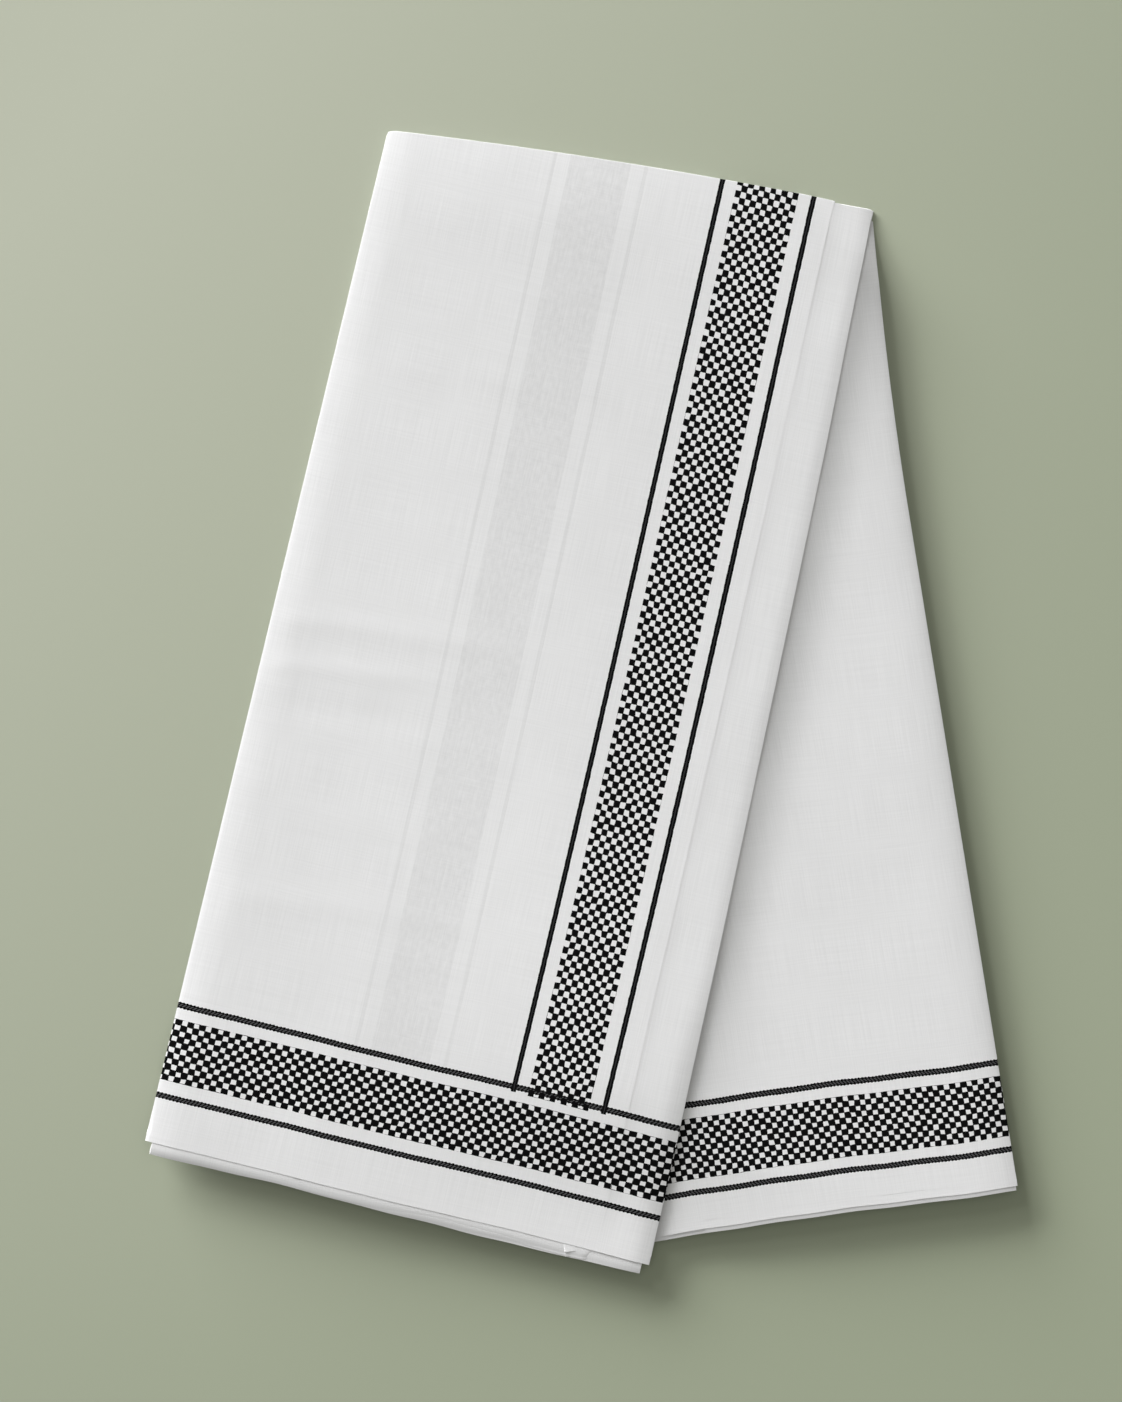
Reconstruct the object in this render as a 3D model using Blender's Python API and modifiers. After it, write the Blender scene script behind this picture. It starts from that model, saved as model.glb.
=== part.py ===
"""A mundu, folded in three along its length and in two across its middle, lying flat with its halves fanned.

The mundu is one woven length of cotton. Its strip is three layers thick: the bottom layer spans both folded
sides, the layer from the right side lies on it, and the layer from the left side closes over both and ends
at its selvedge. The strip then turns over at the top, so that the front half lies on the back half.

Metres, +Z up. The cloth rests on z = 0, the turn lies along +Y, and the origin is on the ground under the
middle of the folded cloth.
"""

import math
from collections import namedtuple

import bmesh
import bpy
from mathutils import Vector

# The cloth's wall, the air between two pieces, and the height of one half with its three layers
WALL = 0.0012
GAP = 0.0003
LAYER = WALL + GAP
HALF_HEIGHT = 0.0060
LIFT = HALF_HEIGHT + GAP

# The corners of the two halves, seen from above: where the folded sides meet the turn, and the ends
TURN_LEFT = Vector((-0.1935, 0.5733))
TURN_RIGHT = Vector((0.2920, 0.4948))
BACK_TURN_RIGHT = Vector((0.2836, 0.4948))
FRONT_END_LEFT = Vector((-0.4365, -0.4372))
FRONT_END_RIGHT = Vector((0.0675, -0.5622))
BACK_END_LEFT = Vector((-0.0165, -0.5487))
BACK_END_RIGHT = Vector((0.4365, -0.4827))
TURN_BOW = 0.0055

# How far from the right folded side the top layer's selvedge lies, at the turn and at the end
SELVEDGE_AT_TURN = 0.040
SELVEDGE_AT_END = 0.055

# Shares of the front half's width from its left side: the hidden selvedge of the layer from the right side,
# and the edge where that layer's own solid starts under the top layer, with the air beside it
INNER_SELVEDGE = 0.31
SIDE_LAYER_FROM = 0.84
SIDE_LAYER_CLEARANCE = 0.0010

# How far the lower layers show past the end of the layer above them
INNER_REACH = 0.0080
BOTTOM_REACH = 0.0120
BACK_REACH = 0.0045

# Folded edges: the plan radius of their corners, and the angles of the roll from the top face downwards
CORNER = 0.0070
ROLL_ANGLES = tuple(math.radians(degrees) for degrees in (0, 36, 72, 108, 144, 180))

# The front half sinks to the ground beside the back half, from inside the back half's side to outside it
SINK_INSIDE = 0.050
SINK_OUTSIDE = 0.150

# How far inside the folded edges the hidden layers end, and how their own edges are rounded and stepped
HIDDEN_LEFT = 0.0075
HIDDEN_RIGHT = 0.0087
HIDDEN_TURN = 0.0078
BACK_HIDDEN_SIDE = 0.0045
BACK_HIDDEN_TURN = 0.0156
ROUNDING = 0.0008
STEP_RUN = 0.0004
BOTTOM_STEP = 0.0018

# The back half's top layer starts this far below the turn, goes this far under the front half, and has at
# least this much flat cloth beside its rolled side
BACK_START = 0.0300
BACK_TUCK = 0.0078
BACK_LEAST_FLAT = 0.0010

# How many lines of points each stretch has, across and along
TOP_LINES = (20, 26)
SIDE_LINES = (4, 26)
BACK_LINES = (5, 16)

# How many spans the hidden blocks have: on either side of the hidden selvedge, under the side layer, and along
INNER_SPANS = (6, 10)
SIDE_SPANS = 2
FRONT_SPANS_ALONG = 25
BACK_SPANS = (4, 5)

# Shares of the turn: where its direction is read near a corner, the step for its slope, and the sharp side of
# the hidden selvedge's notch
NEAR_CORNER = 0.1
SLOPE_STEP = 0.01
NOTCH_SIDE = 0.001

COTTON = (0.80, 0.80, 0.79, 1.0)
COTTON_SHADED = (0.72, 0.72, 0.71, 1.0)
COTTON_ROUGHNESS = 0.9
SHARP_ANGLE = math.radians(40)

Half = namedtuple("Half", "turn_left turn_right end_left end_right")
Line = namedtuple("Line", "share shift drop")
Roll = namedtuple("Roll", "outward bottom")

FRONT = Half(TURN_LEFT, TURN_RIGHT, FRONT_END_LEFT, FRONT_END_RIGHT)
BACK = Half(TURN_LEFT, BACK_TURN_RIGHT, BACK_END_LEFT, BACK_END_RIGHT)
GROUND = None


def clear_scene():
    for old in list(bpy.data.objects):
        bpy.data.objects.remove(old, do_unlink=True)


def smooth(value):
    """A soft step from 0 to 1."""
    value = min(max(value, 0.0), 1.0)
    return value * value * (3 - 2 * value)


def spaced(start, end, count):
    return [start + (end - start) * i / (count - 1) for i in range(count)]


def left_of(direction):
    return Vector((-direction.y, direction.x))


def towards(start, end):
    return (end - start).normalized()


def turn_point(share, half=FRONT):
    """A point on the turn, from its left corner at 0 to its right corner at 1, bowed outwards."""
    bow = TURN_BOW * 4 * share * (1 - share)
    outward = left_of(towards(half.turn_left, half.turn_right))
    return half.turn_left.lerp(half.turn_right, share) + outward * bow


def turn_outward(share):
    return left_of(towards(turn_point(share - SLOPE_STEP), turn_point(share + SLOPE_STEP)))


def end_point(share):
    """A point on the front half's end, from its left corner at 0 to its right corner at 1."""
    return FRONT_END_LEFT.lerp(FRONT_END_RIGHT, share)


def top_height(point):
    """The height of the front half's top face: it lies on the back half and sinks to the ground beside it."""
    inside = (point - TURN_LEFT).dot(left_of(towards(TURN_LEFT, BACK_END_LEFT)))
    return HALF_HEIGHT + LIFT * smooth((inside + SINK_OUTSIDE) / (SINK_OUTSIDE + SINK_INSIDE))


def roll_profile(top, bottom):
    """The outer face of a folded edge, as distances in from the edge and heights."""
    radius = (top - bottom) / 2
    return [(radius * (1 - math.sin(a)), top - radius * (1 - math.cos(a))) for a in ROLL_ANGLES]


def shaped_grid(rows, columns, point_at):
    """A mesh in the making: a grid with each point placed by its row and column."""
    work = bmesh.new()
    bmesh.ops.create_grid(work, x_segments=columns - 1, y_segments=rows - 1, size=0.5)
    for vertex in work.verts:
        column = round((vertex.co.x + 0.5) * (columns - 1))
        row = round((vertex.co.y + 0.5) * (rows - 1))
        vertex.co = point_at(row, column)
    return work


def folded_sheet(lines, flat_point, height, side, turn=None):
    """A layer with a folded side and, where turn is given, a folded top edge.

    flat_point(f, g) is a plan point of its flat part: f is 0 at the folded side and 1 at the free edge, and g
    is 0 at the turn and 1 at the end. Each Roll has its outward direction, as a function of f, and the height
    of its lowest point. Around the corner the two rolls blend in a fan.
    """
    levels = len(ROLL_ANGLES)
    turn_levels = levels if turn else 0
    turn = turn or side
    across = spaced(0, 1, lines[0])
    along = spaced(0, 1, lines[1])

    def point_at(row, column):
        beside = max(0, levels - column)
        above = max(0, turn_levels - row)
        f = across[max(0, column - levels)]
        flat = flat_point(f, along[max(0, row - turn_levels)])
        level = max(beside, above)
        if not level:
            return Vector((flat.x, flat.y, height(flat)))
        share = above / (2 * beside) if beside >= above else 1 - beside / (2 * above)
        outward = side.outward(f).lerp(turn.outward(f), share).normalized()
        edge = flat + outward * CORNER
        side_inset, side_z = roll_profile(height(edge), side.bottom)[level - 1]
        turn_inset, turn_z = roll_profile(height(edge), turn.bottom)[level - 1]
        place = edge - outward * (side_inset + (turn_inset - side_inset) * share)
        return Vector((place.x, place.y, side_z + (turn_z - side_z) * share))

    return shaped_grid(turn_levels + len(along), levels + len(across), point_at)


def block(half, columns, rows, height):
    """A closed block over one half, with a flat underside on the ground.

    A column's share and shift place it across the half, and a row's along it. The drop of either lowers the
    top face there, and GROUND takes it down to the underside. A row's shift may depend on the column.
    """
    width = (half.end_right - half.end_left).length
    length = (half.end_left - half.turn_left).length

    def point_at(row_index, column_index):
        row = rows[row_index]
        column = columns[column_index]
        row_shift = row.shift(column.share) if callable(row.shift) else row.shift
        across = column.share + column.shift / width
        along = row.share + row_shift / length
        plan = turn_point(across, half).lerp(half.end_left.lerp(half.end_right, across), along)
        drops = (row.drop, column.drop)
        z = 0.0 if GROUND in drops else height(plan) - max(drops)
        return Vector((plan.x, plan.y, z))

    work = shaped_grid(len(rows), len(columns), point_at)
    bmesh.ops.holes_fill(work, edges=work.edges, sides=0)
    return work


def cotton(name, colour):
    material = bpy.data.materials.new(name)
    material.use_nodes = True
    shader = material.node_tree.nodes["Principled BSDF"]
    shader.inputs["Base Color"].default_value = colour
    shader.inputs["Roughness"].default_value = COTTON_ROUGHNESS
    shader.inputs["Metallic"].default_value = 0.0
    return material


def add_object(name, work, colour, collection):
    """An object from a mesh in the making: a sheet faces up, and a closed block faces outwards."""
    bmesh.ops.recalc_face_normals(work, faces=work.faces)
    highest = max(work.faces, key=lambda face: face.calc_center_median().z)
    if highest.normal.z < 0:
        bmesh.ops.reverse_faces(work, faces=work.faces)
    mesh = bpy.data.meshes.new(name)
    work.to_mesh(mesh)
    work.free()
    mesh.materials.append(cotton(name, colour))
    mesh.shade_smooth()
    mesh.set_sharp_from_angle(angle=SHARP_ANGLE)
    made = bpy.data.objects.new(name, mesh)
    collection.objects.link(made)
    return made


def add_wall(sheet):
    """Gives a sheet its thickness, inwards from its outer face."""
    wall = sheet.modifiers.new("Wall", "SOLIDIFY")
    wall.thickness = WALL
    wall.offset = -1.0
    wall.use_even_offset = True


def corner_share(corner, side_end, turn_neighbour):
    """How far along the turn the rounding of a corner starts, as a share of the turn's length."""
    cosine = towards(corner, turn_neighbour).dot(towards(corner, side_end))
    return CORNER / math.tan(math.acos(cosine) / 2) / (TURN_RIGHT - TURN_LEFT).length


def front_sheet(name, lines, first, last, inset, side, turn_bottom, collection):
    """A layer of the front half, from its folded side at the shares first to its free edge at the shares last.

    first and last are pairs of shares of the half's width, at the turn and at the end. inset is how far inside
    the turn's own outer face the layer turns over.
    """

    def turn_share(f):
        return first[0] + (last[0] - first[0]) * f

    def flat_point(f, g):
        share = turn_share(f)
        below_turn = turn_point(share) - turn_outward(share) * (CORNER + inset)
        return below_turn.lerp(end_point(first[1] + (last[1] - first[1]) * f), g)

    turn = Roll(lambda f: turn_outward(turn_share(f)), turn_bottom)
    sheet = folded_sheet(lines, flat_point, lambda point: top_height(point) - inset, side, turn)
    add_wall(add_object(name, sheet, COTTON, collection))


def front_top_layer(collection):
    """The layer that shows most, from its folded left side to its selvedge, with its karas woven in."""
    turn_width = (TURN_RIGHT - TURN_LEFT).length
    end_width = (FRONT_END_RIGHT - FRONT_END_LEFT).length
    left_corner = corner_share(TURN_LEFT, FRONT_END_LEFT, turn_point(NEAR_CORNER))
    outward = -left_of(towards(TURN_LEFT, FRONT_END_LEFT))
    front_sheet(
        "front_top_layer",
        TOP_LINES,
        first=(left_corner, CORNER / end_width),
        last=(1 - SELVEDGE_AT_TURN / turn_width, 1 - SELVEDGE_AT_END / end_width),
        inset=0.0,
        side=Roll(lambda f: outward, 0.0),
        turn_bottom=0.0,
        collection=collection,
    )


def front_side_layer(collection):
    """The layer that shows between the top layer's selvedge and the folded right side."""
    turn_width = (TURN_RIGHT - TURN_LEFT).length
    end_width = (FRONT_END_RIGHT - FRONT_END_LEFT).length
    corner_starts = corner_share(TURN_RIGHT, FRONT_END_RIGHT, turn_point(1 - NEAR_CORNER))
    right_corner = corner_starts + LAYER / turn_width
    outward = left_of(towards(TURN_RIGHT, FRONT_END_RIGHT))
    front_sheet(
        "front_side_layer",
        SIDE_LINES,
        first=(1 - right_corner, 1 - CORNER / end_width),
        last=(SIDE_LAYER_FROM, SIDE_LAYER_FROM),
        inset=LAYER,
        side=Roll(lambda f: outward, LIFT),
        turn_bottom=LAYER,
        collection=collection,
    )


def back_top_layer(collection):
    """The back half's top layer: it shows beside the front half, and folds around the right side."""
    side = towards(BACK_TURN_RIGHT, BACK_END_RIGHT)
    inwards = towards(BACK_END_RIGHT, BACK_END_LEFT)
    front_outward = left_of(towards(TURN_RIGHT, FRONT_END_RIGHT))
    length = (BACK_END_RIGHT - BACK_TURN_RIGHT).length

    def flat_point(f, g):
        edge = BACK_TURN_RIGHT + side * (BACK_START + (length - BACK_START) * g)
        right = edge + inwards * CORNER
        to_front_half = (right - TURN_RIGHT).dot(front_outward) / -inwards.dot(front_outward)
        return right + inwards * max(to_front_half + BACK_TUCK, BACK_LEAST_FLAT) * f

    roll = Roll(lambda f: left_of(side), 0.0)
    sheet = folded_sheet(BACK_LINES, flat_point, lambda point: HALF_HEIGHT, roll)
    add_wall(add_object("back_top_layer", sheet, COTTON, collection))


def lines_between(start, end, spans, drop=0):
    """The lines that part a stretch of a block into even spans, without the two at its ends."""
    return [Line(share, 0, drop) for share in spaced(start, end, spans + 1)[1:-1]]


def front_hidden_block():
    """The layers under the front half's top layer, stepped where they show past its end."""

    def inner_end(share):
        return INNER_REACH if share > INNER_SELVEDGE else -HIDDEN_TURN

    columns = [
        Line(0, HIDDEN_LEFT, GROUND),
        Line(0, HIDDEN_LEFT, ROUNDING),
        Line(0, HIDDEN_LEFT + ROUNDING, 0),
        *lines_between(0, INNER_SELVEDGE, INNER_SPANS[0]),
        Line(INNER_SELVEDGE, 0, 0),
        Line(INNER_SELVEDGE + NOTCH_SIDE, 0, 0),
        *lines_between(INNER_SELVEDGE, SIDE_LAYER_FROM, INNER_SPANS[1]),
        Line(SIDE_LAYER_FROM, -SIDE_LAYER_CLEARANCE - STEP_RUN, 0),
        Line(SIDE_LAYER_FROM, -SIDE_LAYER_CLEARANCE, LAYER),
        *lines_between(SIDE_LAYER_FROM, 1, SIDE_SPANS, LAYER),
        Line(1, -HIDDEN_RIGHT - ROUNDING, LAYER),
        Line(1, -HIDDEN_RIGHT, LAYER + ROUNDING),
        Line(1, -HIDDEN_RIGHT, GROUND),
    ]
    rows = [
        Line(0, HIDDEN_TURN, GROUND),
        Line(0, HIDDEN_TURN, ROUNDING),
        Line(0, HIDDEN_TURN + ROUNDING, 0),
        *lines_between(0, 1, FRONT_SPANS_ALONG),
        Line(1, inner_end, 0),
        Line(1, lambda share: inner_end(share) + STEP_RUN, BOTTOM_STEP),
        Line(1, BOTTOM_REACH - ROUNDING, BOTTOM_STEP),
        Line(1, BOTTOM_REACH, BOTTOM_STEP + ROUNDING),
        Line(1, BOTTOM_REACH, GROUND),
    ]
    return block(FRONT, columns, rows, lambda point: top_height(point) - LAYER)


def back_hidden_block():
    """The layers under the back half's top layer, stepped where they show past its end."""
    columns = [
        Line(0, HIDDEN_LEFT, GROUND),
        Line(0, HIDDEN_LEFT, 0),
        *lines_between(0, 1, BACK_SPANS[0]),
        Line(1, -BACK_HIDDEN_SIDE - ROUNDING, 0),
        Line(1, -BACK_HIDDEN_SIDE, ROUNDING),
        Line(1, -BACK_HIDDEN_SIDE, GROUND),
    ]
    rows = [
        Line(0, BACK_HIDDEN_TURN, GROUND),
        Line(0, BACK_HIDDEN_TURN, 0),
        *lines_between(0, 1, BACK_SPANS[1]),
        Line(1, -BACK_REACH, 0),
        Line(1, -BACK_REACH + STEP_RUN, LAYER),
        Line(1, BACK_REACH - ROUNDING, LAYER),
        Line(1, BACK_REACH, LAYER + ROUNDING),
        Line(1, BACK_REACH, GROUND),
    ]
    return block(BACK, columns, rows, lambda point: HALF_HEIGHT - LAYER)


def hidden_layers(collection, guides):
    """One solid for every layer that doesn't show: the two halves' blocks, joined."""
    front = add_object("hidden_layers", front_hidden_block(), COTTON_SHADED, collection)
    back = add_object("back_hidden_block", back_hidden_block(), COTTON_SHADED, guides)
    back.hide_render = True
    back.display_type = "WIRE"
    join = front.modifiers.new("Back half", "BOOLEAN")
    join.operation = "UNION"
    join.solver = "EXACT"
    join.object = back


def main():
    clear_scene()
    collection = bpy.data.collections.new("folded_mundu")
    guides = bpy.data.collections.new("guides")
    bpy.context.scene.collection.children.link(collection)
    bpy.context.scene.collection.children.link(guides)
    front_top_layer(collection)
    front_side_layer(collection)
    back_top_layer(collection)
    hidden_layers(collection, guides)


main()
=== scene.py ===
"""The looks of a folded mundu: each half is one thin sheet of cotton, folded in three as the real cloth is.

A half's sheet runs from one selvedge to the other, round both folded sides: its top layer, its bottom layer
and the inner layer between them. Its UV map holds cloth coordinates in metres, the distance from the first
selvedge and the distance from the cut end. The woven karas are drawn in them, so that they follow the cloth
round its folds.
"""

import math
from collections import namedtuple

import bpy
import numpy as np
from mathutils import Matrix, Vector


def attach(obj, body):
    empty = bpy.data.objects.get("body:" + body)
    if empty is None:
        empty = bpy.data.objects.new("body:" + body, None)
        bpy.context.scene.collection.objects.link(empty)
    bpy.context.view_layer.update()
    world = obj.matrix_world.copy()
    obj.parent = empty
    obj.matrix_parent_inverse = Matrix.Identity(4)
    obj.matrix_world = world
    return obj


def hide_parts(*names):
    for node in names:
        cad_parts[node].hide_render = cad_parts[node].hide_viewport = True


MM = 0.001

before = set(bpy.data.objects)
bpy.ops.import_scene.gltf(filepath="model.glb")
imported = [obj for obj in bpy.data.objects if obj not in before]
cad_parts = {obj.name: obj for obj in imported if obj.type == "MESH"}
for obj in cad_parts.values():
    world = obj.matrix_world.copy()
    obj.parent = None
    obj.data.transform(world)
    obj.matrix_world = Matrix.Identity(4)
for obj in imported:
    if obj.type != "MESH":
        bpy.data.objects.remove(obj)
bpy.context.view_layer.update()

# Below, places along a half are shares of its length, from 0 at the turn to 1 at the cut end, and places
# across it are shares of its width, from 0 at the left. A span is where a change starts and how long it
# takes. A hump is where something starts and where it stops again.

# The two halves seen from above, as the solids have them: turn and end corners, and bow of the turn
TURN_LEFT = (-0.1935, 0.5733)
TURN_RIGHT = (0.2920, 0.4948)
BACK_TURN_RIGHT = (0.2836, 0.4948)
FRONT_END_LEFT = (-0.4365, -0.4372)
FRONT_END_RIGHT = (0.0675, -0.5622)
BACK_END_LEFT = (-0.0165, -0.5487)
BACK_END_RIGHT = (0.4365, -0.4827)
TURN_BOW = 5.5 * MM

Half = namedtuple("Half", "turn_left turn_right end_left end_right")
FRONT = Half(TURN_LEFT, TURN_RIGHT, FRONT_END_LEFT, FRONT_END_RIGHT)
BACK = Half(TURN_LEFT, BACK_TURN_RIGHT, BACK_END_LEFT, BACK_END_RIGHT)

# The cloth's whole width, its thickness, the height between the middles of two layers that lie on each
# other, the air below the lowest layer, and how far apart the upper and the lowest layer stay at least,
# in layers
CLOTH_WIDTH = 1.29
THICKNESS = 0.22 * MM
LAYER_STEP = 0.26 * MM
CLEARANCE = 0.02 * MM
LEAST_LAYERS = 3

# Height of one half, and how much higher the front half's top lies where it lies on the back half: in
# general, still more farther down, and at the cut ends. It rises over these widths, to the left and to
# the right of the back half's hidden left side.
HALF_HEIGHT = 7.7 * MM
LIFT = 2.8 * MM
LIFT_MORE_BELOW = 0.5 * MM
LIFT_MORE_HUMP = (0.58, 1.0)
LIFT_AT_END = 0.2 * MM
LIFT_END_SPAN = (0.84, 0.14)
LIFT_OUTSIDE = 240 * MM
LIFT_INSIDE = 140 * MM

# The front half's left part lies this much higher at the cut end
LEFT_END_LIFT = 1.3 * MM
LEFT_END_SPAN = (0.55, 0.45)

# Beside the front half's right side the back half lies this much below its top: near the turn, farther
# down, and at the cut end
SIDE_STEP = 0.62 * MM
SIDE_STEP_BELOW = 2.2 * MM
SIDE_STEP_BELOW_SPAN = (0.65, 0.17)
SIDE_STEP_AT_END = 2.4 * MM
SIDE_STEP_END_SPAN = (0.88, 0.1)

# It swells up to there over the first of these widths, and farther down over the second. Where it sinks
# to there instead, it does so over the third. All of it fades out beneath the front half, this many of
# the first widths in.
SWELL_REACH = 54 * MM
SWELL_REACH_BELOW = 90 * MM
SWELL_REACH_SPAN = (0.66, 0.14)
SWELL_POWER = 2.7
SINK_REACH = 230 * MM
SWELL_FADE = 1.5

# Both halves come down towards the turn's right corner, in this direction, over this reach
CORNER_DROP = 8.5 * MM
CORNER_REACH = 50 * MM
CORNER_DIRECTION = (0.788, 0.616)

# How the upper layers round off towards the folded sides and the turn: reach and drop. The front half's
# right side rounds off more near the cut end. The turn's rounding stops at a share of the width, and
# fades before it.
LEFT_ROUND = (34 * MM, 0.62 * MM)
RIGHT_ROUND = (14 * MM, 0.34 * MM)
RIGHT_ROUND_AT_END = (22 * MM, 0.74 * MM)
RIGHT_ROUND_SPAN = (0.72, 0.12)
BACK_RIGHT_ROUND = (46 * MM, 0.75 * MM)
BACK_RIGHT_EDGE = (14 * MM, 0.28 * MM)
TURN_ROUND = (90 * MM, 1.0 * MM)
TURN_ROUND_STOP = 0.95
TURN_ROUND_FADE = 0.7

# The upper layers are uneven by this much. Each half's unevenness has a seed and a length in metres.
UNEVEN = 0.07 * MM
FRONT_UNEVEN = (3, 0.23)
BACK_UNEVEN = (8, 0.26)

# Where the layers lie across a half: the outer selvedge from the right side, at the turn and at the end,
# and the inner layer's selvedge as a share of the width, with the share over which the layers above it
# settle
SELVEDGE_AT_TURN = 40 * MM
SELVEDGE_AT_END = 55 * MM
INNER_SELVEDGE = 0.31
INNER_SETTLE = 0.02

# The inner layer beside the top layer's selvedge: it lies this little lower there, sinks this much more
# over this width, and dips under the top layer over this width
EDGE_STEP = 0.04 * MM
EDGE_SINK = 0.10 * MM
EDGE_SINK_WIDTH = 13 * MM
EDGE_DIP_WIDTH = 4 * MM

# That step is shallower on this hump, deeper over the share next to the turn, and gone at the cut end
EDGE_SHALLOWER = 0.45
EDGE_SHALLOWER_HUMP = (0.08, 0.34)
EDGE_DEEPER = 0.5
EDGE_DEEPER_SHARE = 0.14
EDGE_END_SHARE = 0.06

# The front half's bottom layer lies on the back half from this far inside its hidden left side
ON_BACK_WIDTH = 20 * MM

# Near the cut end the bottom layer rises to the others, between these distances from the end
RISE_START = 62 * MM
RISE_STOP = 18 * MM
END_STEP = 0.16 * MM

# The lower layers droop over the last stretch, unevenly across it by a share and in a wave. The back half's
# droop less, by this factor. The front half's edge curls up a little at the right.
DROOP = 0.8 * MM
DROOP_LENGTH = 13 * MM
DROOP_POWER = 3
DROOP_UNEVEN = 0.2
DROOP_RATE = 11.5
DROOP_PHASE = 0.3
BACK_DROOP = 0.4
BACK_DROOP_POWER = 2
LIP = 0.16 * MM
LIP_LENGTH = 1.8 * MM
LIP_HUMP = (0.45, 1.05)

# There the lower layers' folded sides draw in, over this length and by this much
DRAW_IN_LENGTH = 45 * MM
DRAW_IN_LEFT = 7.2 * MM
DRAW_IN_RIGHT = 7.7 * MM
BACK_DRAW_IN = 2.0 * MM

# How far the front half's bottom layer reaches past its end corners: in general, with a ripple across it,
# more on a hump and less at the right
LOWER_REACH = 11.3 * MM
LOWER_RIPPLE = 0.7 * MM
LOWER_RIPPLE_RATE = 15
LOWER_MORE = 1.6 * MM
LOWER_MORE_HUMP = (0.5, 0.86)
LOWER_LESS = 1.2 * MM
LOWER_LESS_SPAN = (0.84, 0.16)

# How much shorter its top layer is on a hump, and how much shorter than the bottom layer its inner layer
# is, in general and on a hump. Towards the right the inner layer is tucked back, from a share on and over
# a share.
TOP_SHORT = 1.6 * MM
TOP_SHORT_HUMP = (0.5, 1.0)
INNER_SHORT = 0.9 * MM
INNER_SHORTER = 2.0 * MM
INNER_SHORTER_HUMP = (0.36, 0.9)
INNER_STOP = 0.895
INNER_STOP_SHARE = 0.02

# How far the back half's lower layers reach past its top layer, and how far its cut end draws in on a hump
BACK_LOWER_REACH = 4.4 * MM
BACK_END_IN = 3.1 * MM
BACK_END_HUMP = (0.05, 0.9)

# The cut ends wobble in waves across them, each a height, a rate and a phase. The front half's top layer
# takes this share of it.
Ripple = namedtuple("Ripple", "height rate phase")
FRONT_RIPPLES = (Ripple(0.5 * MM, 17, 1.0), Ripple(0.3 * MM, 41, 0.0))
BACK_RIPPLES = (Ripple(0.4 * MM, 13, 2.0), Ripple(0.3 * MM, 37, 0.0))
TOP_RIPPLE_SHARE = 0.4

# Widths, seen from above, of the curl at the folded sides and of the roll at the turn. Beside the top
# layer's selvedge the turn lies farther in, which fades by a share towards the right side.
CURL = 0.13 * MM
TURN_REACH = 0.15 * MM
EDGE_INSET = 1.8 * MM
EDGE_INSET_FADE = 0.85

# How many lines of the sheet run round the curls and the turn, and how sharp an edge has to be to shade
# sharp
CURL_STEPS = 9
TURN_STEPS = 12
SHARP_ANGLE = math.radians(50)

# How many lines each flat run has across the cloth, and how much closer they lie by the selvedge
FRONT_TOP_LINES = 106
FRONT_BOTTOM_LINES = 40
STRIP_LINES = 18
FRONT_INNER_LINES = 30
BACK_INNER_LINES = 26
BACK_TOP_LINES = 96
BACK_BOTTOM_LINES = 60
SELVEDGE_POWER = 1.6

# The next line beside a fold lies as close as this share of the run, so that the flat cloth shades flat.
# The strip has two more lines close by, for its narrow rounding.
NEAR_LINE = 0.0007
STRIP_EDGE_LINES = (0.008, 0.04)

# How many rows run along a half, how close the first one lies, and the rows added by the turn and the cut
# end
FRONT_ROWS = 190
BACK_ROWS = 160
NEAR_ROW = 0.0003
ROWS_BY_EDGES = np.array([0.6, 1.2, 1.8, 2.6, 3.6, 4.8, 6.4, 8.4, 11.0]) * MM

# The turn's left and right corners are cut off by this much, over this much of either edge
LEFT_CUT = (1.7 * MM, 7 * MM)
RIGHT_CUT = (1.3 * MM, 6 * MM)

# The front half's right side bows outwards: by this much everywhere, by this much more halfway, and by this
# much more close to the turn. It lies this much farther in on two humps. The bow fades across the half.
SIDE_OUT = 0.2 * MM
SIDE_BOW = 3.1 * MM
SIDE_BOW_POWER = 4
TURN_SIDE_OUT = 1.4 * MM
TURN_SIDE_REACH = 16 * MM
SIDE_IN = 0.9 * MM
SIDE_IN_HUMP = (-0.03, 0.24)
SIDE_IN_BELOW = 0.6 * MM
SIDE_IN_BELOW_HUMP = (0.66, 0.96)
SIDE_BOW_SPAN = (0.8, 0.2)

# The back half's right side spreads near the turn by this much, over this share of its length. This fades
# across the half.
BACK_SPREAD = 11.5 * MM
BACK_SPREAD_SHARE = 0.30
BACK_SPREAD_SPAN = (0.7, 0.3)

# The back half's sheet starts this far inside the turn. The front half's runs on past the turn and under
# that start, its upper part this much higher and its lower part this much lower.
BACK_START = 14 * MM
FLAP = 10 * MM
FLAP_RISE = 0.6 * MM
FLAP_SINK = 0.1 * MM

# The first kara's right-hand line: its distance from the left side, as a cubic in the share along the half
KARA_LINE = (-16.3 * MM, 11.6 * MM, 11.7 * MM, 431.0 * MM)
KARA_FROM_SELVEDGE = 24.0 * MM

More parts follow.
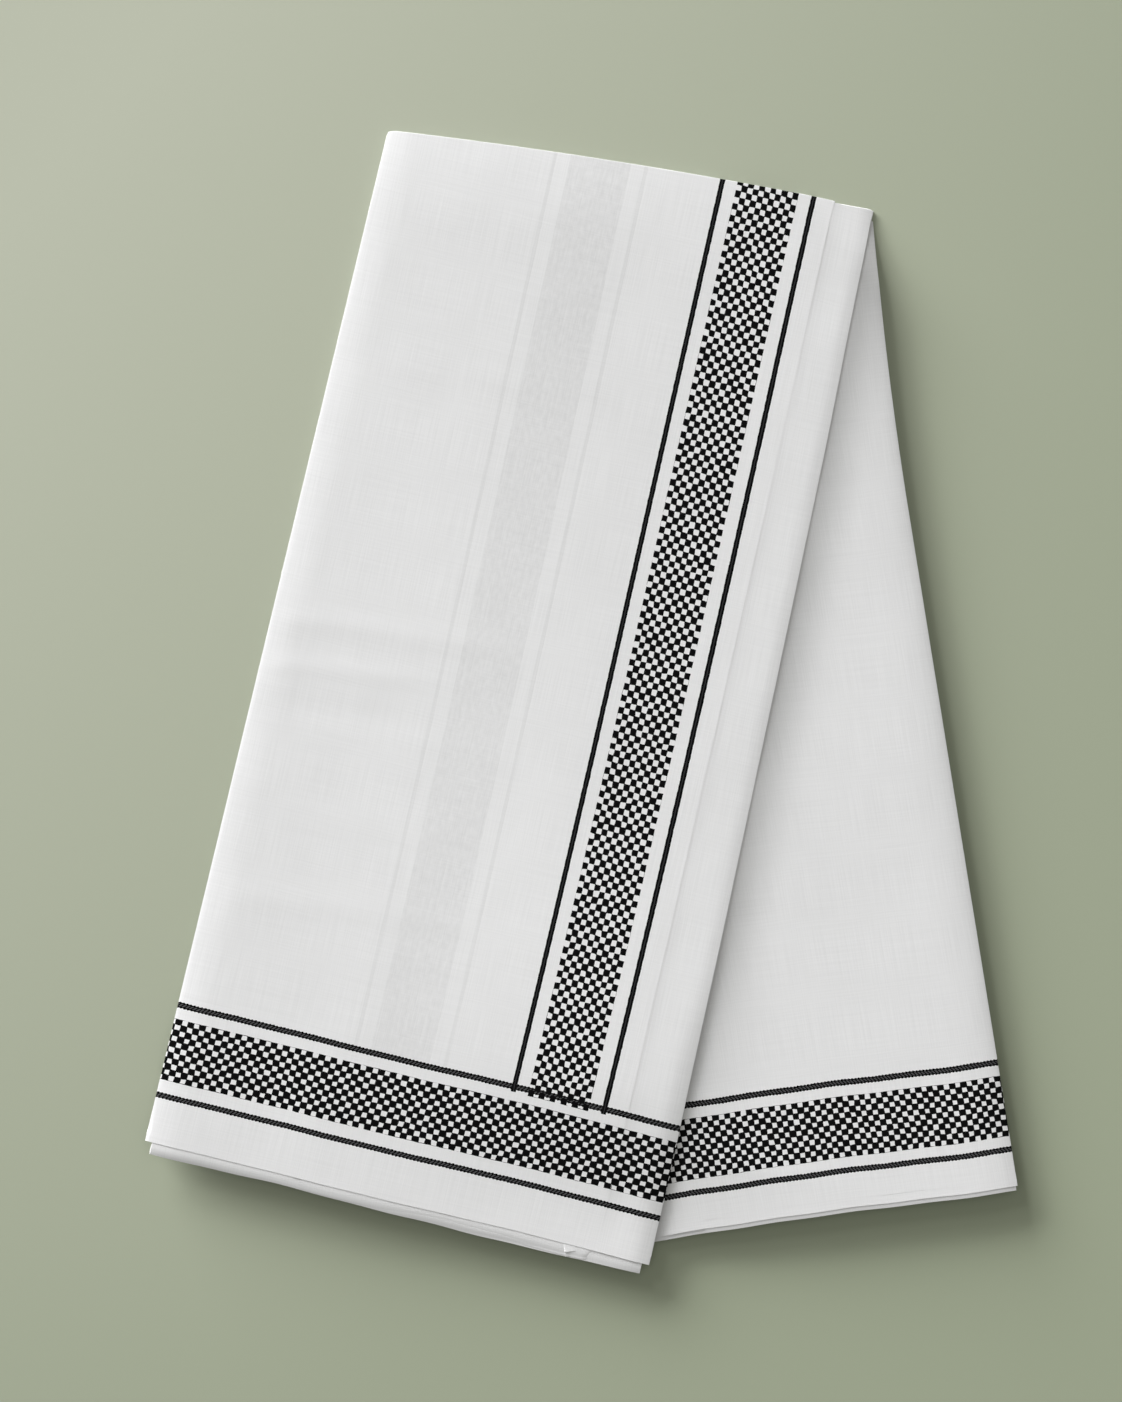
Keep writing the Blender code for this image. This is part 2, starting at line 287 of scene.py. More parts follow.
# Soft creases across the halves: distance from the turn, width, height, where they start and end as
# distances from the left side, and how they slant. They fade in and out over these widths.
Crease = namedtuple("Crease", "place width height start end slant")
FRONT_CREASES = (
    Crease(232 * MM, 16 * MM, 0.05 * MM, 20 * MM, 330 * MM, 0.01),
    Crease(500 * MM, 11 * MM, 0.12 * MM, 0 * MM, 260 * MM, 0.01),
    Crease(547 * MM, 9 * MM, 0.11 * MM, 0 * MM, 210 * MM, -0.01),
    Crease(584 * MM, 13 * MM, -0.09 * MM, 5 * MM, 230 * MM, 0.03),
    Crease(690 * MM, 16 * MM, 0.05 * MM, 40 * MM, 280 * MM, 0.04),
    Crease(784 * MM, 12 * MM, 0.08 * MM, 10 * MM, 300 * MM, -0.02),
)
BACK_CREASES = (
    Crease(610 * MM, 15 * MM, 0.05 * MM, 180 * MM, 420 * MM, 0.02),
    Crease(745 * MM, 20 * MM, -0.06 * MM, 120 * MM, 440 * MM, -0.01),
)
CREASE_FADE_IN = 25 * MM
CREASE_FADE_OUT = 80 * MM


def smooth(value):
    """0 up to 0, 1 from 1 on, and an even curve between them."""
    value = np.clip(value, 0.0, 1.0)
    return value * value * (3 - 2 * value)


def change(value, start, length):
    """0 up to start, 1 from start + length on, and an even curve between them."""
    return smooth((value - start) / length)


def hump(value, start, end):
    """A soft hump that is 1 halfway between start and end, and 0 outside them."""
    inside = np.clip((value - start) / (end - start), 0.0, 1.0)
    return np.sin(math.pi * inside) ** 2


def fading(distance, reach):
    """1 at no distance, falling in a straight line to 0 at reach."""
    return np.clip(1 - distance / reach, 0.0, 1.0)


def unit(vector):
    return vector / np.linalg.norm(vector, axis=-1, keepdims=True)


def left_of(vector):
    return np.stack([-vector[..., 1], vector[..., 0]], axis=-1)


def mix(start, end, share):
    share = np.asarray(share)[..., None]
    return np.asarray(start) * (1 - share) + np.asarray(end) * share


def beside(points, start, end):
    """How far points lie to the left of the line from start to end."""
    return (points - np.asarray(start)) @ left_of(unit(np.subtract(end, start)))


def turn_line(half, share):
    """Points on the turn, from its left corner at share 0 to its right corner at 1, bowed outwards."""
    along = np.subtract(half.turn_right, half.turn_left)
    bow = (TURN_BOW * 4 * share * (1 - share))[..., None]
    return mix(half.turn_left, half.turn_right, share) + left_of(unit(along)) * bow


def turn_outward(half, share):
    step = 0.01
    return left_of(unit(turn_line(half, share + step) - turn_line(half, share - step)))


def corner_drop(points):
    """How much lower the cloth lies near the turn's right corner."""
    away = (np.asarray(TURN_RIGHT) - points) @ np.asarray(CORNER_DIRECTION)
    return CORNER_DROP * smooth(1 - away / CORNER_REACH)


def from_turn(points):
    """How far points lie from the turn towards the cut ends, as a share of a half's length."""
    side = np.subtract(FRONT_END_RIGHT, TURN_RIGHT)
    return np.clip((points - np.asarray(TURN_RIGHT)) @ side / (side @ side), 0.0, 1.0)


def full_lift(share):
    """How much higher the front half's top lies where it lies on the back half."""
    more = LIFT_MORE_BELOW * hump(share, *LIFT_MORE_HUMP)
    return LIFT + more + (LIFT_AT_END - LIFT) * change(share, *LIFT_END_SPAN)


def front_height(points):
    """The height of the front half's top, on the floor at the left and on the back half at the right."""
    inside = beside(points, TURN_LEFT, BACK_END_LEFT)
    share = from_turn(points)
    lift = full_lift(share) * smooth((inside + LIFT_OUTSIDE) / (LIFT_OUTSIDE + LIFT_INSIDE))
    left_lift = LEFT_END_LIFT * change(share, *LEFT_END_SPAN) * smooth(-inside / LIFT_OUTSIDE)
    return HALF_HEIGHT + lift + left_lift - corner_drop(points)


def back_height(points):
    """The height of the back half's top."""
    # How far outside the front half's right side points lie, taking half of its bow
    away = beside(points, TURN_RIGHT, FRONT_END_RIGHT) - SIDE_BOW / 2
    share = from_turn(points)
    step = SIDE_STEP + (SIDE_STEP_BELOW - SIDE_STEP) * change(share, *SIDE_STEP_BELOW_SPAN)
    step = step + (SIDE_STEP_AT_END - SIDE_STEP_BELOW) * change(share, *SIDE_STEP_END_SPAN)
    swell = full_lift(share) - step
    outside = np.clip(away, 0.0, None)
    reach = SWELL_REACH + (SWELL_REACH_BELOW - SWELL_REACH) * change(share, *SWELL_REACH_SPAN)
    swollen = np.clip(swell, 0.0, None) * fading(outside, reach) ** SWELL_POWER
    sunk = np.clip(-swell, 0.0, None) * smooth(1 - outside / SINK_REACH)
    return HALF_HEIGHT + (swollen - sunk) * smooth(away / SWELL_REACH + SWELL_FADE) - corner_drop(points)


def wave(points, seed, length, octaves=3):
    """A smooth random field over the plan, about -1 to 1, made of sine waves in seeded directions."""
    waves_each = 4
    finer = 1.7
    weaker = 1.8
    spread = (0.8, 1.25)
    generator = np.random.default_rng(seed)
    field = np.zeros(points.shape[:-1])
    total = 0.0
    for octave in range(octaves):
        for _ in range(waves_each):
            angle = generator.uniform(0, 2 * math.pi)
            phase = generator.uniform(0, 2 * math.pi)
            number = 2 * math.pi / length * finer**octave * generator.uniform(*spread)
            direction = np.array([math.cos(angle), math.sin(angle)])
            field += np.sin(points @ direction * number + phase) / weaker**octave
        total += waves_each / 2 / weaker**octave
    return field / total


def ripples(across, waves):
    """How far a cut end wobbles past its straight line."""
    return sum(one.height * np.sin(across * one.rate + one.phase) for one in waves)


def rounding(distance, reach, drop):
    """How much lower the cloth lies at a distance from its folded side."""
    return drop * fading(distance, reach) ** 2


def crease_height(across, along, creases):
    height = np.zeros_like(across)
    for crease in creases:
        place = crease.place + crease.slant * (across - crease.start)
        profile = np.exp(-(((along - place) / crease.width) ** 2))
        fade_in = smooth((across - crease.start) / CREASE_FADE_IN)
        fade_out = smooth((crease.end - across) / CREASE_FADE_OUT)
        height += crease.height * profile * fade_in * fade_out
    return height


def line_shares(count, power=1.0, near=NEAR_LINE):
    """Shares from 0 to 1, closer together near 0 for a higher power, with a line close by each end."""
    shares = np.linspace(0, 1, count) ** power
    return np.concatenate([[0.0, near], shares[1:-1], [1 - near, 1.0]])


# A line of a half's sheet that runs from the turn to the cut end: the run of cloth that it belongs to,
# how far across that run it lies, and its level, from 0 on the lower layer to 1 on the upper
Line = namedtuple("Line", "run share level")


def flat_run(name, shares, level):
    return [Line(name, share, level) for share in shares]


def curl_run(name, levels):
    return [Line(name, 0.0, level) for level in levels]


def curl_levels():
    """Levels from the upper layer down to the lower, even in angle."""
    angles = np.linspace(0, math.pi, CURL_STEPS + 2)[1:-1]
    return (1 + np.cos(angles)) / 2


class Lines:
    """The lines of a half's sheet, in order across the cloth, as arrays."""

    def __init__(self, lines):
        self.runs = np.array([line.run for line in lines])
        self.share = np.array([line.share for line in lines])
        self.level = np.array([line.level for line in lines])
        # How far a curl's line bulges out: 1 halfway down it
        self.bulge = 2 * np.sqrt(self.level * (1 - self.level))

    def on(self, *names):
        return np.isin(self.runs, names)

    def before(self, name):
        return int(np.flatnonzero(self.on(name))[0]) - 1

    def after(self, name):
        return int(np.flatnonzero(self.on(name))[-1]) + 1

    def join_curl(self, heights, name):
        """Heights with those of a curl set between its two neighbouring lines."""
        ends = (self.before(name), self.after(name))
        upper, lower = (heights[:, index:index + 1] for index in sorted(ends, key=lambda i: -self.level[i]))
        return np.where(self.on(name), lower + (upper - lower) * self.level, heights)


def make_sheet(name, points, cloth_u, cloth_v):
    """A sheet of cloth from grids of its points and cloth coordinates, with its thickness."""
    rows, count = points.shape[:2]
    mesh = bpy.data.meshes.new(name)
    index = np.arange(rows * count).reshape(rows, count)
    faces = np.stack([index[:-1, :-1], index[:-1, 1:], index[1:, 1:], index[1:, :-1]], axis=-1)
    mesh.from_pydata(points.reshape(-1, 3).tolist(), [], faces.reshape(-1, 4).tolist())
    layer = mesh.uv_layers.new(name="Cloth")
    corners = np.empty(len(mesh.loops), dtype=np.int32)
    mesh.loops.foreach_get("vertex_index", corners)
    cloth = np.stack([cloth_u.reshape(-1), cloth_v.reshape(-1)], axis=-1)
    layer.data.foreach_set("uv", cloth[corners].astype(np.float32).reshape(-1))
    thin = bpy.data.objects.new(name + "_middle", mesh)
    bpy.context.scene.collection.objects.link(thin)
    wall = thin.modifiers.new("Thickness", "SOLIDIFY")
    wall.thickness = THICKNESS
    wall.offset = 0.0
    bpy.context.view_layer.update()
    thick = bpy.data.meshes.new_from_object(thin.evaluated_get(bpy.context.evaluated_depsgraph_get()))
    bpy.data.objects.remove(thin)
    thick.shade_smooth()
    thick.set_sharp_from_angle(angle=SHARP_ANGLE)
    made = bpy.data.objects.new(name, thick)
    bpy.context.scene.collection.objects.link(made)
    return made


def half_widths(half, t):
    """A half's width at shares t of its length."""
    turn = np.linalg.norm(np.subtract(half.turn_right, half.turn_left))
    end = np.linalg.norm(np.subtract(half.end_right, half.end_left))
    return turn + (end - turn) * t


def selvedge_inset(t):
    """How far from the right side the outer selvedge lies."""
    return SELVEDGE_AT_TURN + (SELVEDGE_AT_END - SELVEDGE_AT_TURN) * t


def draw_in(t, length, amount):
    """How far the lower layers' folded side draws in near the cut end."""
    return amount * smooth(1 - (1 - t) * length / DRAW_IN_LENGTH)


def drawn(level):
    """How much of that a line takes: all of it on a curl's lower half, so that a notch shows at the end."""
    return smooth((1 - level) * 2)


def reached(level):
    """How much of the lower layer's reach past the end a line takes."""
    return smooth((0.5 - level) * 2)


def corner_cut(from_side, along, amount, reach):
    """How far the cloth draws back from one of the turn's corners."""
    return (amount * smooth(1 - from_side / reach) * smooth(1 - along / reach))[..., None]


def rows_along(count, length):
    """Shares along a half's length, with more of them by the turn and by the cut end."""
    close = ROWS_BY_EDGES / length
    return np.unique(np.concatenate([line_shares(count, near=NEAR_ROW), close, 1 - close]))[:, None]


def run_lengths(points):
    """Distance along each row of points from its first."""
    steps = np.linalg.norm(np.diff(points, axis=1), axis=-1)
    return np.concatenate([np.zeros((len(points), 1)), np.cumsum(steps, axis=1)], axis=1)


def near_cut_end(to_end):
    """How far the bottom layer has risen to the others, at a distance from the cut end."""
    return smooth((RISE_START - to_end) / (RISE_START - RISE_STOP))


def front_lines():
    """Top layer, left curl, bottom layer, right curl, and the inner layer beside and below the top one."""
    levels = curl_levels()
    strip = 1 - line_shares(STRIP_LINES, SELVEDGE_POWER)[::-1]
    return Lines(
        flat_run("top", line_shares(FRONT_TOP_LINES)[::-1], 1.0)
        + curl_run("left", levels)
        + flat_run("bottom", line_shares(FRONT_BOTTOM_LINES), 0.0)
        + curl_run("right", levels[::-1])
        + flat_run("strip", np.insert(strip, 2, STRIP_EDGE_LINES), 1.0)
        + flat_run("inner", line_shares(FRONT_INNER_LINES, SELVEDGE_POWER)[1:], 1.0)
    )


def front_from_left(lines, width, selvedge, in_left, in_right):
    """Distance of every point from the left side."""
    x = np.where(lines.on("top"), CURL + lines.share * (selvedge - CURL), 0.0)
    x = np.where(lines.on("left"), CURL * (1 - lines.bulge) + in_left * drawn(lines.level), x)
    bottom = CURL + in_left + lines.share * (width - 2 * CURL - in_left - in_right)
    x = np.where(lines.on("bottom"), bottom, x)
    right = width - CURL * (1 - lines.bulge) - in_right * drawn(lines.level)
    x = np.where(lines.on("right"), right, x)
    strip = selvedge + (width - CURL - selvedge) * (1 - lines.share)
    x = np.where(lines.on("strip"), strip, x)
    inner = selvedge - lines.share * (selvedge - width * INNER_SELVEDGE)
    return np.where(lines.on("inner"), inner, x)


def front_reach(lines, across):
    """How far each line of the front half reaches past the straight line between its end corners."""
    ripple = LOWER_RIPPLE * np.sin(LOWER_RIPPLE_RATE * across)
    lower = LOWER_REACH + ripple + LOWER_MORE * hump(across, *LOWER_MORE_HUMP)
    lower = lower - LOWER_LESS * change(across, *LOWER_LESS_SPAN)
    inner = lower - INNER_SHORT - INNER_SHORTER * hump(across, *INNER_SHORTER_HUMP)
    tucked = inner * smooth((INNER_STOP - across) / INNER_STOP_SHARE)
    reach = np.where(lines.on("bottom"), lower, -TOP_SHORT * hump(across, *TOP_SHORT_HUMP))
    reach = np.where(lines.on("left", "right"), lower * reached(lines.level), reach)
    reach = np.where(lines.on("inner"), tucked, reach)
    wobble = ripples(across, FRONT_RIPPLES)
    return reach + np.where(lines.on("bottom", "inner"), wobble, TOP_RIPPLE_SHARE * wobble)


def side_bow(t, length, share):
    """How far the front half's right side lies outside the straight line between its corners."""
    bow = SIDE_OUT + SIDE_BOW * (1 - (2 * t - 1) ** SIDE_BOW_POWER)
    bow = bow + TURN_SIDE_OUT * fading(t * length, TURN_SIDE_REACH) ** 2
    bow = bow - SIDE_IN * hump(t, *SIDE_IN_HUMP) - SIDE_IN_BELOW * hump(t, *SIDE_IN_BELOW_HUMP)
    return bow * change(share, *SIDE_BOW_SPAN)


def below_top_layer(past_edge, t):
    """How far the inner layer lies below the top one, by the distance past the top layer's selvedge."""
    depth = 1 - EDGE_SHALLOWER * hump(t, *EDGE_SHALLOWER_HUMP)
    depth = depth + EDGE_DEEPER * smooth(1 - t / EDGE_DEEPER_SHARE)
    sunk = EDGE_SINK * depth * (1 - fading(past_edge, EDGE_SINK_WIDTH) ** 2)
    dipped = (LAYER_STEP - EDGE_STEP) * smooth(-past_edge / EDGE_DIP_WIDTH)
    below = EDGE_STEP * depth + sunk * (past_edge > 0) + dipped * (past_edge < 0)
    return np.where(past_edge < 0, below, below * smooth((1 - t) / EDGE_END_SHARE))


def front_droop(to_end, share):
    """How far the front half's lower layers hang down by the cut end, less what their edge curls up."""
    uneven = 1 - DROOP_UNEVEN + DROOP_UNEVEN * np.sin(share * DROOP_RATE + DROOP_PHASE)
    droop = DROOP * fading(to_end, DROOP_LENGTH) ** DROOP_POWER * uneven
    return droop - LIP * fading(to_end, LIP_LENGTH) * hump(share, *LIP_HUMP)


def swing_round_turn(section, centre, outward, lengths):
    """Rows and cloth lengths of a half's cross-section swung round the turn's axis, from below it."""
    rise = section[:, 2] - centre
    rows = []
    arcs = []
    for theta in np.linspace(math.pi, 0, TURN_STEPS + 1)[:-1]:
        place = section[:, :2] + outward * (np.abs(rise) / centre * TURN_REACH * math.sin(theta))[:, None]
        height = centre + rise * math.cos(theta) - LAYER_STEP * (rise < 0) * (1 - math.cos(theta)) / 2
        rows.append(np.concatenate([place, height[:, None]], axis=-1))
        arcs.append(lengths + np.abs(rise) * theta)
    flap = rows[0].copy()
    flap[:, :2] -= outward * FLAP
    flap[:, 2] += np.where(rise > 0, FLAP_RISE, -FLAP_SINK)
    return np.stack([flap, *rows]), np.stack([arcs[0] + FLAP, *arcs])


def front_across_cloth(lines, points, x, t):
    """Cloth coordinates across: placed by the kara on the top layer, then by length round the folds."""
    u_top = KARA_FROM_SELVEDGE + np.polyval(KARA_LINE, t) - x
    run = run_lengths(points)
    last_top = lines.before("left")
    rest = run - run[:, last_top:last_top + 1]
    u_left = u_top[:, last_top:last_top + 1]
    u_rest = u_left + rest * (CLOTH_WIDTH - u_left) / rest[:, -1:]
    return np.where(np.arange(len(lines.runs)) <= last_top, u_top, u_rest)


def front_cloth():
    """The front half's sheet, which runs on round the turn."""
    lines = front_lines()
    half_length = np.linalg.norm(np.subtract(FRONT_END_LEFT, TURN_LEFT))
    t = rows_along(FRONT_ROWS, half_length)
    width = half_widths(FRONT, t)
    selvedge = width - selvedge_inset(t)
    in_left = draw_in(t, half_length, DRAW_IN_LEFT)
    in_right = draw_in(t, half_length, DRAW_IN_RIGHT)
    x = front_from_left(lines, width, selvedge, in_left, in_right)
    share = x / width

    # The plan: each line runs from the turn's axis to its place on the cut end
    across = share[-1]
    outward = turn_outward(FRONT, share[0])
    past_selvedge = np.clip((x[0] - selvedge[0]) / (width[0] - selvedge[0]), 0.0, 1.0)
    beside_top = lines.on("inner") | (past_selvedge > 0)
    inset = TURN_REACH + EDGE_INSET * beside_top * (1 - EDGE_INSET_FADE * past_selvedge)
    axis = turn_line(FRONT, share[0]) - outward * inset[:, None]
    ends = mix(FRONT_END_LEFT, FRONT_END_RIGHT, across)
    ends = ends + unit(ends - axis) * front_reach(lines, across)[:, None]
    plan = axis * (1 - t)[..., None] + ends * t[..., None]
    side_out = left_of(unit(np.subtract(FRONT_END_RIGHT, TURN_RIGHT)))
    plan = plan + side_out * side_bow(t, half_length, share)[..., None]
    lengths = np.linalg.norm(ends - axis, axis=-1)
    along = t * lengths
    to_end = lengths - along
    plan = plan + unit(np.subtract(FRONT_END_RIGHT, TURN_LEFT)) * corner_cut(x, along, *LEFT_CUT)
    plan = plan + unit(np.subtract(FRONT_END_LEFT, TURN_RIGHT)) * corner_cut(width - x, along, *RIGHT_CUT)

    # Heights: the top layer, the bottom layer on what it rests on, and the inner layer below the top
    upper = front_height(plan) - THICKNESS / 2
    by_end = change(t, *RIGHT_ROUND_SPAN)
    upper = upper - rounding(x, *LEFT_ROUND)
    upper = upper - rounding(width - x, *RIGHT_ROUND) * (1 - by_end)
    upper = upper - rounding(width - x, *RIGHT_ROUND_AT_END) * by_end
    upper = upper - rounding(along, *TURN_ROUND) * smooth((TURN_ROUND_STOP - share) / TURN_ROUND_FADE)
    upper = upper + UNEVEN * wave(plan, *FRONT_UNEVEN) + crease_height(x, along, FRONT_CREASES)
    layers_above = 1 + smooth((share - INNER_SELVEDGE) / INNER_SETTLE + 1)
    droop = front_droop(to_end, share)
    on_back = smooth(beside(plan, TURN_LEFT, BACK_END_LEFT) / ON_BACK_WIDTH)
    resting = back_height(plan) * on_back + THICKNESS / 2 + CLEARANCE
    lower = np.minimum(resting, upper - LAYER_STEP * layers_above)
    raised = upper - END_STEP * layers_above - droop
    near_end = near_cut_end(to_end)
    lower = lower + (raised - lower) * near_end
    past_edge = x - selvedge
    below_top = below_top_layer(past_edge, t)
    below_top = below_top + (END_STEP + droop - below_top) * near_end * (past_edge < 0)
    z = np.where(lines.on("bottom"), lower, upper)
    z = np.where(lines.on("inner", "strip"), upper - below_top, z)
    z = lines.join_curl(z, "left")
    z = lines.join_curl(z, "right")
    points = np.concatenate([plan, z[..., None]], axis=-1)

    # The turn, and the cloth coordinates
    turn_points, turn_v = swing_round_turn(points[0], (upper[0] + THICKNESS / 2) / 2, outward, lengths)
    u = front_across_cloth(lines, points, x, t)
    u = np.concatenate([np.repeat(u[:1], len(turn_points), axis=0), u])
    v = np.concatenate([turn_v, to_end])
    return make_sheet("front_cloth", np.concatenate([turn_points, points]), u, v)


def back_lines():
    """Inner layer, right curl, top layer, left curl and bottom layer."""
    levels = curl_levels()
    return Lines(
        flat_run("inner", line_shares(BACK_INNER_LINES)[::-1], 0.0)
        + curl_run("right", levels[::-1])
        + flat_run("top", line_shares(BACK_TOP_LINES), 1.0)
        + curl_run("left", levels)
        + flat_run("bottom", line_shares(BACK_BOTTOM_LINES), 0.0)
    )


def back_cloth():
    """The back half's sheet: its top layer shows at the right, and its bottom layer lies on the ground."""
    lines = back_lines()
    half_length = np.linalg.norm(np.subtract(BACK_END_RIGHT, BACK_TURN_RIGHT))
    t = rows_along(BACK_ROWS, half_length)
    width = half_widths(BACK, t)
    selvedge = width - selvedge_inset(t)
    in_right = draw_in(t, half_length, BACK_DRAW_IN)

    # Distance of every point from the left side
    x = np.where(lines.on("top"), width - CURL - lines.share * (width - 2 * CURL), 0.0)
    right = width - CURL * (1 - lines.bulge) - in_right * drawn(lines.level)
    x = np.where(lines.on("right"), right, x)
    x = np.where(lines.on("left"), CURL * (1 - lines.bulge), x)
    inner_right = width - CURL - in_right
    inner = inner_right - lines.share * (inner_right - width * INNER_SELVEDGE)
    x = np.where(lines.on("inner"), inner, x)
    x = np.where(lines.on("bottom"), CURL + lines.share * (selvedge - CURL), x)
    share = x / width

    # The plan: each line runs from a little inside the turn to its place on the cut end
    across = share[-1]
    reach = np.where(lines.on("top"), 0.0, BACK_LOWER_REACH)
    reach = np.where(lines.on("right", "left"), BACK_LOWER_REACH * reached(lines.level), reach)
    reach = reach + ripples(across, BACK_RIPPLES) - BACK_END_IN * hump(across, *BACK_END_HUMP)
    begins = turn_line(BACK, share[0]) - turn_outward(BACK, share[0]) * BACK_START
    ends = mix(BACK_END_LEFT, BACK_END_RIGHT, across)
    ends = ends + unit(ends - begins) * reach[:, None]
    plan = begins * (1 - t)[..., None] + ends * t[..., None]
    side_out = left_of(unit(np.subtract(BACK_END_RIGHT, BACK_TURN_RIGHT)))
    spread = BACK_SPREAD * fading(t, BACK_SPREAD_SHARE) ** 2 * change(share, *BACK_SPREAD_SPAN)
    plan = plan + side_out * spread[..., None]
    lengths = np.linalg.norm(ends - begins, axis=-1)
    along = t * lengths
    to_end = lengths - along

    # Heights: the top layer, and the bottom and inner layers that lie on the ground and rise by the cut end
    upper = back_height(plan) - THICKNESS / 2
    upper = upper - rounding(width - x, *BACK_RIGHT_ROUND) - rounding(width - x, *BACK_RIGHT_EDGE)
    upper = upper + UNEVEN * wave(plan, *BACK_UNEVEN) + crease_height(x, along, BACK_CREASES)
    upper = np.maximum(upper, LEAST_LAYERS * LAYER_STEP)
    droop = BACK_DROOP * DROOP * fading(to_end, DROOP_LENGTH) ** BACK_DROOP_POWER
    resting = THICKNESS / 2 + CLEARANCE
    lower = resting + (upper - END_STEP - droop - resting) * near_cut_end(to_end)
    z = np.where(lines.on("top"), upper, lower)
    z = np.where(lines.on("inner"), lower + END_STEP, z)
    z = lines.join_curl(z, "left")
    z = lines.join_curl(z, "right")
    points = np.concatenate([plan, z[..., None]], axis=-1)
    run = run_lengths(points)
    u = CLOTH_WIDTH * (1 - run / run[:, -1:])
    return make_sheet("back_cloth", points, u, to_end)


class Shade:
    """Short names for building a material's nodes."""

    def __init__(self, name):
        self.material = bpy.data.materials.new(name)
        self.material.use_nodes = True
        self.tree = self.material.node_tree
        self.shader = self.tree.nodes["Principled BSDF"]

    def node(self, kind, **settings):
        made = self.tree.nodes.new(kind)
        for key, value in settings.items():
            setattr(made, key, value)
        return made

    def feed(self, socket, value):
        if isinstance(value, bpy.types.NodeSocket):
            self.tree.links.new(value, socket)
        else:
            socket.default_value = value

    def math(self, operation, first, second=0.0, third=0.0):
        made = self.node("ShaderNodeMath", operation=operation)
        for socket, value in zip(made.inputs, (first, second, third)):
            self.feed(socket, value)
        return made.outputs[0]

    def add(self, first, second):
        return self.math("ADD", first, second)

    def minus(self, first, second):
        return self.math("SUBTRACT", first, second)

    def times(self, first, second):
        return self.math("MULTIPLY", first, second)

    def both(self, first, second):
        return self.math("MINIMUM", first, second)

    def either(self, first, second):
        return self.math("MAXIMUM", first, second)

    def above(self, value, limit):
        return self.math("GREATER_THAN", value, limit)

    def within(self, value, centre, half_width):
        """1 where value is within half_width of centre."""
        return self.math("COMPARE", value, centre, half_width)

    def between(self, value, low, high):
        return self.within(value, (low + high) / 2, (high - low) / 2)

    def in_two(self, value, centres, half_widths):
        """1 where value is within a half width of either of two centres."""
        first, second = (self.within(value, *pair) for pair in zip(centres, half_widths))
        return self.either(first, second)

    def noise(self, vector, scale, detail):
        made = self.node("ShaderNodeTexNoise")
        made.noise_dimensions = "3D"
        self.feed(made.inputs["Vector"], vector)
        self.feed(made.inputs["Scale"], scale)
        self.feed(made.inputs["Detail"], detail)
        return made.outputs[0]

    def centred(self, value, amount):
        """A value from 0 to 1, moved to lie evenly about 0 and made this large."""
        return self.times(self.minus(value, 0.5), amount)

    def vector(self, x, y, z=0.0):
        made = self.node("ShaderNodeCombineXYZ")
        for socket, value in zip(made.inputs, (x, y, z)):
            self.feed(socket, value)
        return made.outputs[0]

    def parts(self, vector):
        made = self.node("ShaderNodeSeparateXYZ")
        self.feed(made.inputs[0], vector)
        return made.outputs

    def streaks(self, u, v, rates, detail):
        """Noise drawn out along the cloth or across it, by its rates in u and v."""
        return self.noise(self.vector(self.times(u, rates[0]), self.times(v, rates[1])), 1.0, detail)

    def mix(self, share, first, second, blend="MIX"):
        made = self.node("ShaderNodeMix", data_type="RGBA", blend_type=blend)
        self.feed(made.inputs[0], share)
        self.feed(made.inputs[6], first)
        self.feed(made.inputs[7], second)
        return made.outputs[2]

    def grey(self, value):
        made = self.node("ShaderNodeCombineColor")
        for socket in made.inputs:
            self.feed(socket, value)
        return made.outputs[0]


# The karas: a line, a band of checks and a line, as distances from the selvedge or from the cut end, and
# the height of a row of checks
Kara = namedtuple("Kara", "line checks far_line check")
SIDE_KARA = Kara(24.0 * MM, 39.1 * MM, 116.6 * MM, 5.7 * MM)
FRONT_END_KARA = Kara(48.0 * MM, 63.5 * MM, 140.0 * MM, 5.7 * MM)
BACK_END_KARA = Kara(37.4 * MM, 50.4 * MM, 125.2 * MM, 5.58 * MM)
CHECK_ALONG = 6.15 * MM
CHECKS_ACROSS = 11
BAND_TRIM = 0.2 * MM
LINE_WIDTH = 5.2 * MM

# The side kara runs this far past the edge of the end kara's far line, and its own lines stop this much
# sooner
SIDE_CHECKS_PAST = 3.3 * MM
SIDE_LINES_SHORT = 0.8 * MM

# The squares' corners are softened by this much, and the black spreads into the white by this much
SIDE_SOFTNESS = 0.9 * MM
SIDE_SPREAD = 0.26 * MM
END_SOFTNESS = 0.5 * MM
END_SPREAD = 0.52 * MM

# Noise rates and sizes: how the threads drift, how unevenly the black spreads and how far the squares
# wander. The drifts across and along come from places this far apart in the noise.
DRIFT_RATE = 160.0
DRIFT = 1.1 * MM
DRIFT_APART = 3.0
LOOSE_RATE = 90.0
LOOSE = 2.0 * MM
WANDER_RATE = 38.0
WANDER = 2.4 * MM

# How much finer noise is laid over a noise's main one
SOFT_DETAIL = 1.0
SOME_DETAIL = 2.0
FINE_DETAIL = 3.0

# The end kara's lines: the twill ribs' pitch and how far in they show, and how much wider the lines are,
# with the ribs and on the far line. The side kara's lines have a paler thread of this half width.
RIB = 3.7 * MM
RIB_HALF_WIDTH = 1.5 * MM
END_LINE_WIDER = 0.25 * MM
END_LINE_RAGGED = 0.35 * MM
FAR_LINE_WIDER = 0.15 * MM
THREAD_HALF_WIDTH = 0.4 * MM

# Rates in u and v of the streaks along both threads, the rate of the clouds, and how much each one shows
STREAK_ALONG_RATES = (900.0, 14.0)
STREAK_ACROSS_RATES = (12.0, 700.0)
CLOUD_RATE = 16.0
STREAK_ALONG_TONE = 0.16
STREAK_ACROSS_TONE = 0.10
CLOUD_TONE = 0.05

